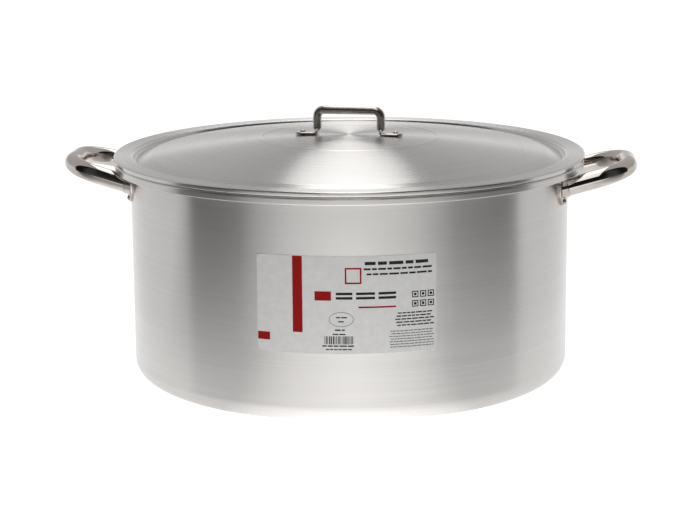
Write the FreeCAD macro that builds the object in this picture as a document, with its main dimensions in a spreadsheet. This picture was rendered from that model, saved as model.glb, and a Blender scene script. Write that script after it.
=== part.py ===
import FreeCAD, Part
import math
import os
import Sketcher

# Lidded aluminium casserole stock pot, 400 mm across the inside, about 25 litres.
# Frame: +Z up, origin at the centre of the underside, side handles along +X and -X,
# label towards -Y. All lengths are millimetres and all angles degrees.

SIZES = {
    # pot shell, spun from sheet
    "body_radius": 202.5,           # outer face of the straight wall
    "wall": 2.5,
    "base_thickness": 3.0,
    "base_corner": 15.0,            # outer radius where wall meets base
    "rim_height": 200.6,            # top of the flared rim
    "rim_radius": 217.0,            # outer face of the turned-down lip
    "rim_lip": 7.1,                 # height of the turned-down lip
    "rim_flare": 5.0,               # radius of the mouth where it turns outward
    "rim_corner": 2.4,              # rounding of the rim's top outer edge
    "lip_edge": 1.0,                # rounding of the lip's lower edges
    # lid shell, spun from sheet with a folded hem
    "lid_sheet": 1.5,
    "lid_radius": 217.7,
    "lid_seat_gap": 0.3,            # the hem clears the pot's rim by this much
    "lid_hem": 4.1,                 # height of the folded hem
    "lid_hem_width": 3.4,
    "lid_hem_top": 1.5,             # rounding of the hem's upper outer edge
    "lid_hem_edge": 0.9,            # rounding of the hem's lower edges
    "lid_mouth_radius": 199.8,      # where the flat flange turns down into the groove
    "lid_mouth_bend": 2.6,
    "lid_groove_radius": 198.6,     # visible wall of the groove
    "lid_groove_depth": 6.5,        # groove bottom below the flange
    "lid_groove_bend": 1.8,
    "lid_shoulder_radius": 183.0,
    "lid_shoulder_rise": 0.2,       # shoulder above the flange
    "lid_shoulder_bend": 5.0,
    "lid_crease_radius": 82.0,
    "lid_crease_rise": 12.6,        # crease ring above the shoulder
    "lid_dome_radius": 1357.0,      # dome section between shoulder and crease
    "lid_crown_rise": 2.4,          # middle of the lid above the crease
    # side handles, bent from polished tube
    "tube_radius": 8.25,
    "tube_wall": 1.2,
    "handle_height": 181.3,         # tube centre where its plane meets handle_plane
    "handle_plane": 204.0,          # distance of that line from the pot's axis
    "handle_tilt": 15.0,            # rise of the loop's plane outward
    "handle_spacing": 96.0,         # between the legs at handle_plane
    "handle_reach": 54.6,           # along the slope, handle_plane to grip centre
    "handle_root": 14.0,            # tube drawn this far inside handle_plane, then trimmed
    "handle_lean": 6.0,             # each leg leans toward the other
    "handle_bend": 34.0,            # centre line radius of both bends
    # plates between side handles and pot
    "plate_thickness": 2.2,
    "plate_width": 25.0,
    "plate_tall": 31.3,
    "plate_rise": 0.2,              # plate centre above the tube's
    "plate_corner": 12.0,
    "collar_radius": 9.1,
    "collar_reach": 2.8,            # collar stands this far off the plate
    # rivets
    "rivet_radius": 2.0,
    "rivet_clearance": 0.1,
    "rivet_head_radius": 2.7,
    "rivet_head_height": 1.9,
    "rivet_tail_radius": 4.2,
    "rivet_tail_height": 1.3,
    "rivet_tail_play": 0.06,        # between the tail and the sheet it closes on
    "rivet_head_play": 0.02,        # between the head and the plate or foot under it
    "rivet_above": 13.0,            # handle rivets from the tube's centre
    "rivet_below": 12.0,
    # lid handle, bent from round bar with flattened feet
    "grip_radius": 4.0,
    "grip_width": 68.0,             # over the outside of both legs
    "grip_height": 26.2,            # top of the bar above the lid's middle
    "grip_bend": 6.5,
    "foot_span": 101.0,
    "foot_width": 14.0,
    "foot_thickness": 2.2,
    "foot_bend": 2.8,               # outer radius between foot and leg
    "foot_neck": 3.0,               # height of the flattened part of each leg
    "foot_taper": 2.0,              # length over which the bar becomes flat
    "taper_overlap": 0.5,           # the taper runs this far down into the flat neck
    "taper_swell": 0.3,             # its lower end is thicker than the neck, each way
    "taper_inset": 0.6,             # and narrower than the neck, each way
    "foot_tip": 6.3,                # rounding of the feet's outer corners
    "foot_seat": 0.36,              # underside of the feet below the lid's middle
    "foot_rivet_spacing": 87.4,
    "lid_turn": -5.0,               # lid handle turned against the side handles
    # label
    "label_width": 155.5,           # along the arc
    "label_tall": 84.4,
    "label_centre": 105.8,
    "label_thickness": 0.2,
    "label_corner": 3.0,
    "label_turn": 4.1,              # from -Y toward +X
}

# shares of a rivet's own sizes that shape its head and tail
TAIL_FLAT = 0.7         # radius of the tail's flat end
TAIL_EDGE = 0.4         # depth of the tail's straight edge
HEAD_EDGE = 0.25        # height of the head's straight edge
HEAD_BROW = 0.55        # radius where the head's dome flattens
HEAD_BROW_RISE = 0.85   # height of that place

HOLE_LENGTH = 40.0      # length of the cutters for rivet holes
HALVINGS = 60           # steps in the search for where a leg meets the wall
CLOSE = 0.01            # two lengths nearer than this are the same

X_AXIS = FreeCAD.Vector(1, 0, 0)
Y_AXIS = FreeCAD.Vector(0, 1, 0)
Z_AXIS = FreeCAD.Vector(0, 0, 1)
NO_TURN = FreeCAD.Rotation()

doc = FreeCAD.newDocument("stock_pot")
sheet = doc.addObject("Spreadsheet::Sheet", "Sizes")
for row, (alias, number) in enumerate(SIZES.items(), start=1):
    sheet.set("A%d" % row, alias)
    sheet.set("B%d" % row, str(number))
    sheet.setAlias("B%d" % row, alias)
doc.recompute()


class Length:
    """A length held both as a number and as an expression on the sheet."""

    def __init__(self, number, text):
        self.number = number
        self.text = text

    def __add__(self, other):
        return Length(self.number + other.number, "(%s + %s)" % (self.text, other.text))

    def __sub__(self, other):
        return Length(self.number - other.number, "(%s - %s)" % (self.text, other.text))

    def __mul__(self, factor):
        return Length(self.number * factor, "(%s * %s)" % (self.text, factor))

    def __neg__(self):
        return self * -1.0


def size(alias):
    return Length(getattr(sheet, alias), "Sizes.%s" % alias)


def new_body(label, placement=None):
    body = doc.addObject("PartDesign::Body", label)
    body.Label = label
    if placement is not None:
        body.Placement = placement
    return body


def origin_plane(body, role):
    return next(item for item in body.Origin.OriginFeatures if item.Role == role)


def new_sketch(body, name, role="XZ_Plane", offset=None):
    sketch = body.newObject("Sketcher::SketchObject", name)
    sketch.AttachmentSupport = [(origin_plane(body, role), "")]
    sketch.MapMode = "FlatFace"
    if offset is not None:
        sketch.AttachmentOffset = offset
    return sketch


def hold(sketch, kind, *places, length):
    """Adds a dimension to a sketch and ties it to the sheet."""
    index = sketch.addConstraint(Sketcher.Constraint(kind, *places, length.number))
    sketch.setExpression("Constraints[%d]" % index, length.text)


def pin(sketch, edge, end, across, up):
    """Holds one end of an edge at (across, up) from the sketch's origin."""
    if across is None:
        sketch.addConstraint(Sketcher.Constraint("PointOnObject", edge, end, -2))
    else:
        hold(sketch, "DistanceX", -1, 1, edge, end, length=across)
    if up is None:
        sketch.addConstraint(Sketcher.Constraint("PointOnObject", edge, end, -1))
    else:
        hold(sketch, "DistanceY", -1, 1, edge, end, length=up)


def arc_through(start, end, radius, side):
    """Arc from start to end; side +1 bulges to the left of the way along, -1 to the right."""
    chord = end - start
    left = FreeCAD.Vector(-chord.y, chord.x, 0).normalize()
    depth = math.sqrt(radius ** 2 - chord.Length ** 2 / 4)
    centre = (start + end) * 0.5 - left * (side * depth)
    first, last = (end, start) if side > 0 else (start, end)
    angles = [math.atan2(point.y - centre.y, point.x - centre.x) for point in (first, last)]
    circle = Part.Circle(centre, Z_AXIS, radius)
    return Part.ArcOfCircle(circle, angles[0], angles[1])


def outline(sketch, corners, arcs=None):
    """Closed outline. A corner is (across, up), None meaning on the axis.
    arcs maps the edge after a corner to (radius, side)."""
    arcs = arcs or {}
    points = [FreeCAD.Vector(across.number if across else 0, up.number if up else 0, 0)
              for across, up in corners]
    ends = []
    for edge, start in enumerate(points):
        end = points[(edge + 1) % len(points)]
        if edge in arcs:
            radius, side = arcs[edge]
            sketch.addGeometry(arc_through(start, end, radius.number, side), False)
            ends.append((2, 1) if side > 0 else (1, 2))
        else:
            sketch.addGeometry(Part.LineSegment(start, end), False)
            ends.append((1, 2))
    for edge in range(len(points)):
        following = (edge + 1) % len(points)
        sketch.addConstraint(Sketcher.Constraint(
            "Coincident", edge, ends[edge][1], following, ends[following][0]))
    for edge, (across, up) in enumerate(corners):
        pin(sketch, edge, ends[edge][0], across, up)
    for edge, (radius, side) in arcs.items():
        hold(sketch, "Radius", edge, length=radius)


def revolve(body, sketch, name, turn=None):
    """Turns a sketch about its vertical axis, all the way round or half of turn each way."""
    feature = body.newObject("PartDesign::Revolution", name)
    feature.Profile = sketch
    feature.ReferenceAxis = (sketch, ["V_Axis"])
    if turn is None:
        feature.Angle = 360.0
    else:
        feature.Midplane = True
        feature.setExpression("Angle", "%s / %s * 180 / pi * 1 deg" % turn)
    doc.recompute()
    return feature


def round_edges(body, name, radius, is_wanted):
    """Rounds the edges of the body's last solid that is_wanted picks out."""
    base = body.Tip
    names = ["Edge%d" % number for number, edge in enumerate(base.Shape.Edges, start=1)
             if not edge.Degenerated and is_wanted(edge)]
    if not names:
        raise RuntimeError("no edges found for %s" % name)
    feature = body.newObject("PartDesign::Fillet", name)
    feature.Base = (base, names)
    feature.setExpression("Radius", radius.text)
    doc.recompute()
    return feature


def ring_at(places, tolerance=0.05):
    """Picks circles about the pot's axis at any of the given (radius, height) places."""
    wanted = [(across.number, up.number) for across, up in places]

    def is_wanted(edge):
        if not isinstance(edge.Curve, Part.Circle):
            return False
        middle = edge.Curve.Center
        if math.hypot(middle.x, middle.y) > tolerance:
            return False
        return any(abs(edge.Curve.Radius - across) < tolerance and abs(middle.z - up) < tolerance
                   for across, up in wanted)
    return is_wanted


def cylinder(body, kind, name, radius, height, placement):
    """Adds or cuts a cylinder. height is a number of millimetres or a Length."""
    feature = body.newObject("PartDesign::%sCylinder" % kind, name)
    feature.setExpression("Radius", radius.text)
    if isinstance(height, Length):
        feature.setExpression("Height", height.text)
    else:
        feature.Height = height
    feature.Placement = placement
    doc.recompute()


def pointing(position, direction):
    return FreeCAD.Placement(position, FreeCAD.Rotation(Z_AXIS, direction))


def turned(angle):
    return FreeCAD.Placement(FreeCAD.Vector(), FreeCAD.Rotation(Z_AXIS, angle))


# Where one leg of a side handle meets the pot's wall, seen from the +X side.
TILT = math.radians(sheet.handle_tilt)
LEAN = math.radians(sheet.handle_lean)
# unit step along the leg that stands on the +Y side, pointing away from the pot
LEG_STEP = FreeCAD.Vector(
    math.cos(LEAN) * math.cos(TILT), -math.sin(LEAN), math.cos(LEAN) * math.sin(TILT))


def leg_point(distance):
    """Point on the +Y leg's centre line, a distance outward from handle_plane."""
    start = FreeCAD.Vector(sheet.handle_plane, sheet.handle_spacing / 2, sheet.handle_height)
    return start + LEG_STEP * distance


def leg_at_radius(radius):
    """Where the +Y leg's centre line is at a given distance from the pot's axis."""
    low = -sheet.handle_root * 2
    high = 0.0
    for _ in range(HALVINGS):
        middle = (low + high) / 2
        point = leg_point(middle)
        if math.hypot(point.x, point.y) < radius:
            low = middle
        else:
            high = middle
    return leg_point(middle)


SEAT = leg_at_radius(sheet.body_radius)
SEAT_AZIMUTH = math.degrees(math.atan2(SEAT.y, SEAT.x))

# Handle corners: (name, azimuth of the plate, +1 where the leg is like the +Y one)
CORNERS = [
    ("right_rear", SEAT_AZIMUTH, 1),
    ("right_front", -SEAT_AZIMUTH, -1),
    ("left_front", 180 + SEAT_AZIMUTH, 1),
    ("left_rear", 180 - SEAT_AZIMUTH, -1),
]
RIVET_LEVELS = [("upper", sheet.rivet_above), ("lower", -sheet.rivet_below)]
LID_RIVETS = [("right", 1), ("left", -1)]

flange_top = size("rim_height") + size("lid_seat_gap") + size("lid_hem")
shoulder_top = flange_top + size("lid_shoulder_rise")
crease_top = shoulder_top + size("lid_crease_rise")
crown_top = crease_top + size("lid_crown_rise")


def rivet_hole(body, name, position, direction):
    """Cuts a hole both ways from a position, along a direction."""
    radius = size("rivet_radius") + size("rivet_clearance")
    start = position - direction * (HOLE_LENGTH / 2)
    cylinder(body, "Subtractive", name, radius, HOLE_LENGTH, pointing(start, direction))


def pot_body():
    body = new_body("pot_body")
    sketch = new_sketch(body, "pot_profile")
    inside = size("body_radius") - size("wall")
    lip_inside = size("rim_radius") - size("wall")
    under_rim = size("rim_height") - size("wall")
    lip_bottom = size("rim_height") - size("rim_lip")
    outline(sketch, [
        (None, None),
        (size("body_radius"), None),
        (size("body_radius"), under_rim),
        (lip_inside, under_rim),
        (lip_inside, lip_bottom),
        (size("rim_radius"), lip_bottom),
        (size("rim_radius"), size("rim_height")),
        (inside, size("rim_height")),
        (inside, size("base_thickness")),
        (None, size("base_thickness")),
    ])
    revolve(body, sketch, "pot_shell")
    ground = Length(0.0, "0")
    rounds = [
        ("base_outer", size("base_corner"), [(size("body_radius"), ground)]),
        ("base_inner", size("base_corner") - size("wall"), [(inside, size("base_thickness"))]),
        ("mouth", size("rim_flare"), [(inside, size("rim_height"))]),
        ("neck", size("rim_flare") - size("wall"), [(size("body_radius"), under_rim)]),
        ("rim_top", size("rim_corner"), [(size("rim_radius"), size("rim_height"))]),
        ("rim_lip_edges", size("lip_edge"),
         [(size("rim_radius"), lip_bottom), (lip_inside, lip_bottom)]),
    ]
    for name, radius, places in rounds:
        round_edges(body, name, radius, ring_at(places))
    for corner, azimuth, _ in CORNERS:
        outward = FreeCAD.Rotation(Z_AXIS, azimuth).multVec(X_AXIS)
        for level, rise in RIVET_LEVELS:
            place = outward * sheet.body_radius
            place.z = SEAT.z + rise
            rivet_hole(body, "hole_%s_%s" % (corner, level), place, outward)
    return body


def side_handle(label, turn):
    """Bent tube in a tilted plane, its ends trimmed to the pot's wall."""
    body = new_body(label, turned(turn))
    plane_turn = FreeCAD.Rotation(Y_AXIS, -sheet.handle_tilt)
    foot = FreeCAD.Vector(sheet.handle_plane, 0, sheet.handle_height)
    path = new_sketch(body, label + "_path", "XY_Plane", FreeCAD.Placement(foot, plane_turn))
    root, reach, bend = sheet.handle_root, sheet.handle_reach, sheet.handle_bend
    start = FreeCAD.Vector(-root, sheet.handle_spacing / 2 + root * math.tan(LEAN), 0)
    step = FreeCAD.Vector(math.cos(LEAN), -math.sin(LEAN), 0)
    inward = FreeCAD.Vector(-math.sin(LEAN), -math.cos(LEAN), 0)
    # the bend's centre stands one bend radius inside both the leg and the grip
    along = (reach - bend - start.x - inward.x * bend) / step.x
    leg_end = start + step * along
    centre = leg_end + inward * bend
    grip_end = FreeCAD.Vector(reach, centre.y, 0)

    def mirrored(point):
        return FreeCAD.Vector(point.x, -point.y, 0)
    leg_angle = math.pi / 2 - LEAN
    pieces = [
        Part.LineSegment(start, leg_end),
        Part.ArcOfCircle(Part.Circle(centre, Z_AXIS, bend), 0, leg_angle),
        Part.LineSegment(grip_end, mirrored(grip_end)),
        Part.ArcOfCircle(Part.Circle(mirrored(centre), Z_AXIS, bend), -leg_angle, 0),
        Part.LineSegment(mirrored(leg_end), mirrored(start)),
    ]
    for piece in pieces:
        path.addGeometry(piece, False)
    joins = [(0, 2, 1, 2), (1, 1, 2, 1), (2, 2, 3, 2), (3, 1, 4, 1)]
    for join in joins:
        path.addConstraint(Sketcher.Constraint("Tangent", *join))
    path.addConstraint(Sketcher.Constraint("Symmetric", 2, 1, 2, 2, -1))
    path.addConstraint(Sketcher.Constraint("Symmetric", 0, 1, 4, 2, -1))
    hold(path, "Radius", 1, length=size("handle_bend"))
    hold(path, "Radius", 3, length=size("handle_bend"))
    hold(path, "DistanceX", -1, 1, 2, 1, length=size("handle_reach"))
    hold(path, "DistanceX", -1, 1, 0, 1, length=-size("handle_root"))
    spread = Length(start.y, "(Sizes.handle_spacing / 2"
                    " + Sizes.handle_root * tan(Sizes.handle_lean * 1 deg))")
    hold(path, "DistanceY", -1, 1, 0, 1, length=spread)
    hold(path, "Angle", 0, length=Length(-LEAN, "(-Sizes.handle_lean * 1 deg)"))

    leg_start = foot + plane_turn.multVec(start)
    leg_step = plane_turn.multVec(step)
    section = new_sketch(body, label + "_section", "XY_Plane", pointing(leg_start, leg_step))
    bore = size("tube_radius") - size("tube_wall")
    for edge, radius in enumerate((size("tube_radius"), bore)):
        section.addGeometry(Part.Circle(FreeCAD.Vector(), Z_AXIS, radius.number), False)
        section.addConstraint(Sketcher.Constraint("Coincident", edge, 3, -1, 1))
        hold(section, "Radius", edge, length=radius)
    doc.recompute()
    tube = body.newObject("PartDesign::AdditivePipe", label + "_tube")
    tube.Profile = section
    tube.Spine = path
    doc.recompute()
    cylinder(body, "Subtractive", label + "_trim", size("body_radius"), size("rim_height") * 2,
             FreeCAD.Placement(FreeCAD.Vector(), NO_TURN))
    return body


def handle_plate(corner, azimuth, side):
    """Oval plate curved to the wall, with a collar round the leg. Made on the +X axis."""
    body = new_body(corner + "_plate", turned(azimuth))
    sketch = new_sketch(body, corner + "_plate_profile")
    outer = size("body_radius") + size("plate_thickness")
    middle = Length(SEAT.z, "%.6f" % SEAT.z) + size("plate_rise")
    bottom = middle - size("plate_tall") * 0.5
    top = middle + size("plate_tall") * 0.5
    outline(sketch, [(size("body_radius"), bottom), (outer, bottom),
                     (outer, top), (size("body_radius"), top)])
    revolve(body, sketch, corner + "_plate_patch", ("Sizes.plate_width", "Sizes.body_radius"))

    def is_corner(edge):
        return isinstance(edge.Curve, Part.Line) and abs(
            edge.Length - sheet.plate_thickness) < CLOSE
    round_edges(body, corner + "_plate_corners", size("plate_corner"), is_corner)
    # the leg in the plate's own frame
    to_plate = FreeCAD.Rotation(Z_AXIS, -SEAT_AZIMUTH)
    start = to_plate.multVec(SEAT)
    step = to_plate.multVec(LEG_STEP)
    if side < 0:
        start.y = -start.y
        step.y = -step.y
    inside = sheet.handle_root / 2
    collar_length = size("plate_thickness") + size("collar_reach") + size("handle_root") * 0.5
    cylinder(body, "Additive", corner + "_collar", size("collar_radius"), collar_length,
             pointing(start - step * inside, step))
    cylinder(body, "Subtractive", corner + "_bore", size("tube_radius"), 4 * inside,
             pointing(start - step * 2 * inside, step))
    cylinder(body, "Subtractive", corner + "_seat", size("body_radius"), size("rim_height") * 2,
             FreeCAD.Placement(FreeCAD.Vector(), NO_TURN))
    for level, rise in RIVET_LEVELS:
        place = FreeCAD.Vector(sheet.body_radius, 0, SEAT.z + rise)
        rivet_hole(body, "%s_%s_hole" % (corner, level), place, X_AXIS)
    return body


def rivet(label, grip, placement):
    """Rivet along its own vertical axis: tail below, grip length, domed head above."""
    body = new_body(label, placement)
    sketch = new_sketch(body, label + "_profile")
    head, tail = size("rivet_head_radius"), size("rivet_tail_radius")
    outline(sketch, [
        (None, -size("rivet_tail_height")),
        (tail * TAIL_FLAT, -size("rivet_tail_height")),
        (tail, -size("rivet_tail_height") * TAIL_EDGE),
        (tail, None),
        (size("rivet_radius"), None),
        (size("rivet_radius"), grip),
        (head, grip),
        (head, grip + size("rivet_head_height") * HEAD_EDGE),
        (head * HEAD_BROW, grip + size("rivet_head_height") * HEAD_BROW_RISE),
        (None, grip + size("rivet_head_height")),
    ])
    revolve(body, sketch, label + "_turned")
    return body


def handle_rivets():
    made = []
    grip = (size("wall") + size("plate_thickness")
            + size("rivet_tail_play") + size("rivet_head_play"))
    for corner, azimuth, _ in CORNERS:
        outward = FreeCAD.Rotation(Z_AXIS, azimuth).multVec(X_AXIS)
        for level, rise in RIVET_LEVELS:
            inner = outward * (sheet.body_radius - sheet.wall - sheet.rivet_tail_play)
            inner.z = SEAT.z + rise
            label = "%s_%s_rivet" % (corner, level)
            made.append(rivet(label, grip, pointing(inner, outward)))
    return made


def lid_shell():
    body = new_body("lid_shell")
    sketch = new_sketch(body, "lid_profile")
    thick = size("lid_sheet")
    hem_inside = size("lid_radius") - size("lid_hem_width")
    hem_bottom = size("rim_height") + size("lid_seat_gap")
    groove_bottom = flange_top - size("lid_groove_depth")
    mouth, groove = size("lid_mouth_radius"), size("lid_groove_radius")
    shoulder, crease = size("lid_shoulder_radius"), size("lid_crease_radius")
    crown_radius = Length(
        (crease.number ** 2 + sheet.lid_crown_rise ** 2) / (2 * sheet.lid_crown_rise),
        "((Sizes.lid_crease_radius^2 + Sizes.lid_crown_rise^2) / (2 * Sizes.lid_crown_rise))")
    dome = size("lid_dome_radius")
    outline(sketch, [
        (None, crown_top),
        (crease, crease_top),
        (shoulder, shoulder_top),
        (groove, groove_bottom),
        (mouth, flange_top),
        (size("lid_radius"), flange_top),
        (size("lid_radius"), hem_bottom),
        (hem_inside, hem_bottom),
        (hem_inside, flange_top - thick),
        (mouth + thick, flange_top - thick),
        (groove + thick, groove_bottom - thick),
        (shoulder, shoulder_top - thick),
        (crease, crease_top - thick),
        (None, crown_top - thick),
    ], {0: (crown_radius, 1), 1: (dome, 1), 11: (dome, -1), 12: (crown_radius, -1)})
    revolve(body, sketch, "lid_spun")
    rounds = [
        ("lid_hem_top_edge", size("lid_hem_top"), [(size("lid_radius"), flange_top)]),
        ("lid_hem_lower_edges", size("lid_hem_edge"),
         [(size("lid_radius"), hem_bottom), (hem_inside, hem_bottom)]),
        ("lid_mouth_upper", size("lid_mouth_bend"), [(mouth, flange_top)]),
        ("lid_mouth_lower", size("lid_mouth_bend") - thick,
         [(mouth + thick, flange_top - thick)]),
        ("lid_groove_upper", size("lid_groove_bend"), [(groove, groove_bottom)]),
        ("lid_groove_lower", size("lid_groove_bend") + thick,
         [(groove + thick, groove_bottom - thick)]),
        ("lid_shoulder_upper", size("lid_shoulder_bend") + thick, [(shoulder, shoulder_top)]),
        ("lid_shoulder_lower", size("lid_shoulder_bend"), [(shoulder, shoulder_top - thick)]),
    ]
    for name, radius, places in rounds:
        round_edges(body, name, radius, ring_at(places))
    for name, sign in LID_RIVETS:
        place = lid_rivet_place(sign)
        rivet_hole(body, "lid_hole_" + name, place, Z_AXIS)
    return body


def lid_rivet_place(sign):
    """Under face of the lid where a lid rivet passes through."""
    across = sheet.foot_rivet_spacing / 2
    rise = sheet.lid_crown_rise
    radius = (sheet.lid_crease_radius ** 2 + rise ** 2) / (2 * rise)
    drop = radius - math.sqrt(radius ** 2 - (across + sheet.rivet_tail_radius) ** 2)
    place = FreeCAD.Vector(sign * across, 0, crown_top.number - sheet.lid_sheet - drop)
    return FreeCAD.Rotation(Z_AXIS, sheet.lid_turn).multVec(place)


def lid_rivets():
    made = []
    for name, sign in LID_RIVETS:
        place = lid_rivet_place(sign)
        foot_top = crown_top.number - sheet.foot_seat + sheet.foot_thickness
        top = foot_top + sheet.rivet_head_play
        grip = Length(top - place.z, "%.6f" % (top - place.z))
        made.append(rivet("lid_%s_rivet" % name, grip, pointing(place, Z_AXIS)))
    return made


def lid_handle():
    """Round bar bent to a bridge; each leg flattens, turns outward and lies on the lid."""
    placement = FreeCAD.Placement(
        FreeCAD.Vector(0, 0, crown_top.number), FreeCAD.Rotation(Z_AXIS, sheet.lid_turn))
    body = new_body("lid_handle", placement)
    half = size("grip_width") * 0.5 - size("grip_radius")
    top = size("grip_height") - size("grip_radius")
    neck_top = size("foot_neck") + size("foot_taper")

    # bridge: down the right leg is the mirror of up the left leg
    path = new_sketch(body, "grip_path")
    bend = sheet.grip_bend
    left, right = -half.number, half.number
    high, low = top.number, neck_top.number
    lines = [
        Part.LineSegment(FreeCAD.Vector(left, low, 0), FreeCAD.Vector(left, high - bend, 0)),
        Part.ArcOfCircle(Part.Circle(FreeCAD.Vector(left + bend, high - bend, 0), Z_AXIS, bend),
                         math.pi / 2, math.pi),
        Part.LineSegment(FreeCAD.Vector(left + bend, high, 0),
                         FreeCAD.Vector(right - bend, high, 0)),
        Part.ArcOfCircle(Part.Circle(FreeCAD.Vector(right - bend, high - bend, 0), Z_AXIS, bend),
                         0, math.pi / 2),
        Part.LineSegment(FreeCAD.Vector(right, high - bend, 0), FreeCAD.Vector(right, low, 0)),
    ]
    for piece in lines:
        path.addGeometry(piece, False)
    for join in [(0, 2, 1, 2), (1, 1, 2, 1), (2, 2, 3, 2), (3, 1, 4, 1)]:
        path.addConstraint(Sketcher.Constraint("Tangent", *join))
    path.addConstraint(Sketcher.Constraint("Vertical", 0))
    path.addConstraint(Sketcher.Constraint("Vertical", 4))
    for edge in (1, 3):
        hold(path, "Radius", edge, length=size("grip_bend"))
    pin(path, 0, 1, -half, neck_top)
    pin(path, 4, 2, half, neck_top)
    hold(path, "DistanceY", -1, 1, 2, 1, length=top)
    start = FreeCAD.Placement(FreeCAD.Vector(left, 0, low), NO_TURN)
    section = new_sketch(body, "grip_section", "XY_Plane", start)
    section.addGeometry(Part.Circle(FreeCAD.Vector(), Z_AXIS, sheet.grip_radius), False)
    section.addConstraint(Sketcher.Constraint("Coincident", 0, 3, -1, 1))
    hold(section, "Radius", 0, length=size("grip_radius"))
    doc.recompute()
    bridge = body.newObject("PartDesign::AdditivePipe", "grip_bridge")
    bridge.Profile = section
    bridge.Spine = path
    doc.recompute()

    for name, sign in LID_RIVETS:
        leg_centre = sign * half.number
        # taper from round bar to a flat neck
        rings = []
        for part, height, across, deep in (
                ("round", neck_top.number, sheet.grip_radius, sheet.grip_radius),
                ("flat", sheet.foot_neck - sheet.taper_overlap,
                 sheet.foot_thickness / 2 + sheet.taper_swell,
                 sheet.foot_width / 2 - sheet.taper_inset)):
            place = FreeCAD.Placement(FreeCAD.Vector(leg_centre, 0, height), NO_TURN)
            ring = new_sketch(body, "%s_%s_ring" % (name, part), "XY_Plane", place)
            if part == "round":
                ring.addGeometry(Part.Circle(FreeCAD.Vector(), Z_AXIS, across), False)
            else:
                ring.addGeometry(Part.Ellipse(FreeCAD.Vector(0, deep, 0),
                                              FreeCAD.Vector(across, 0, 0),
                                              FreeCAD.Vector()), False)
            rings.append(ring)
        doc.recompute()
        taper = body.newObject("PartDesign::AdditiveLoft", name + "_taper")
        taper.Profile = rings[0]
        taper.Sections = [rings[1]]
        doc.recompute()
        # flat neck, bend and foot, drawn as a side view and given the foot's width
        side = new_sketch(body, name + "_foot_side")
        thick = size("foot_thickness")
        middle = half * sign
        inner = middle - thick * (0.5 * sign)
        outer = middle + thick * (0.5 * sign)
        tip = size("foot_span") * (0.5 * sign)
        sole = -size("foot_seat")
        outline(side, [
            (inner, size("foot_neck")), (inner, sole), (tip, sole),
            (tip, sole + thick), (outer, sole + thick), (outer, size("foot_neck")),
        ])
        strap = body.newObject("PartDesign::Pad", name + "_foot")
        strap.Profile = side
        strap.SideType = "Symmetric"
        strap.setExpression("Length", "Sizes.foot_width")
        doc.recompute()

    def upright_at(across, height):
        def is_wanted(edge):
            box = edge.BoundBox
            if max(box.XLength, box.ZLength) > CLOSE or box.YLength < sheet.foot_thickness:
                return False
            return abs(abs(box.XMin) - across) < CLOSE and abs(box.ZMin - height) < CLOSE
        return is_wanted

    def tip_corner(edge):
        box = edge.BoundBox
        if max(box.XLength, box.YLength) > CLOSE:
            return False
        return (abs(box.ZLength - sheet.foot_thickness) < CLOSE
                and abs(abs(box.XMin) - sheet.foot_span / 2) < CLOSE)
    inner_face = half.number - sheet.foot_thickness / 2
    outer_face = half.number + sheet.foot_thickness / 2
    sole_height = -sheet.foot_seat
    round_edges(body, "foot_outer_bend", size("foot_bend"), upright_at(inner_face, sole_height))
    round_edges(body, "foot_inner_bend", size("foot_bend") - size("foot_thickness"),
                upright_at(outer_face, sole_height + sheet.foot_thickness))
    round_edges(body, "foot_tips", size("foot_tip"), tip_corner)
    for name, sign in LID_RIVETS:
        place = FreeCAD.Vector(sign * sheet.foot_rivet_spacing / 2, 0, 0)
        rivet_hole(body, name + "_foot_hole", place, Z_AXIS)
    return body


def label():
    """Thin sheet stuck to the wall, curved with it, with rounded corners. Made on the +X axis."""
    body = new_body("label", turned(sheet.label_turn - 90))
    sketch = new_sketch(body, "label_profile")
    outer = size("body_radius") + size("label_thickness")
    bottom = size("label_centre") - size("label_tall") * 0.5
    top = size("label_centre") + size("label_tall") * 0.5
    outline(sketch, [(size("body_radius"), bottom), (outer, bottom),
                     (outer, top), (size("body_radius"), top)])
    revolve(body, sketch, "label_patch", ("Sizes.label_width", "Sizes.body_radius"))

    def is_corner(edge):
        return isinstance(edge.Curve, Part.Line) and abs(
            edge.Length - sheet.label_thickness) < CLOSE
    round_edges(body, "label_corners", size("label_corner"), is_corner)
    return body


def check(parts):
    failed = [item.Name for item in doc.Objects
              if "Invalid" in item.State or "Error" in item.State]
    if failed:
        raise RuntimeError("failed objects: %s" % failed)
    for part in parts:
        shape = part.Shape
        if shape.isNull() or not shape.isValid() or len(shape.Solids) != 1:
            raise RuntimeError("bad shape: %s" % part.Label)
        print("%-30s %10.1f mm3  %3d faces" % (part.Label, shape.Volume, len(shape.Faces)))


def main():
    parts = [pot_body()]
    parts += [side_handle("right_handle", 0), side_handle("left_handle", 180)]
    parts += [handle_plate(*corner) for corner in CORNERS]
    parts += handle_rivets()
    parts += [lid_shell(), lid_handle()]
    parts += lid_rivets()
    parts.append(label())
    doc.recompute()
    check(parts)
    os.makedirs("parts", exist_ok=True)
    for part in parts:
        part.Shape.exportStep("parts/%s.step" % part.Label)


main()
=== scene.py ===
# %% [markdown]
# # A lidded aluminium stock pot
#
# This lesson dresses a finished CAD model of a 40 cm restaurant pot. The CAD model already has the
# sizes, the lid's lift and the places of all twenty pieces. Here each piece gets a clean mesh and a
# finish: sheet aluminium turned on a lathe, polished stainless handles, and a printed film label.
# Everything is in metres, in the CAD model's own frame: Z up, origin under the middle of the base.

# %% Load the frame
import math
import random

import bmesh
import bpy
from mathutils import Matrix, Vector


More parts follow.
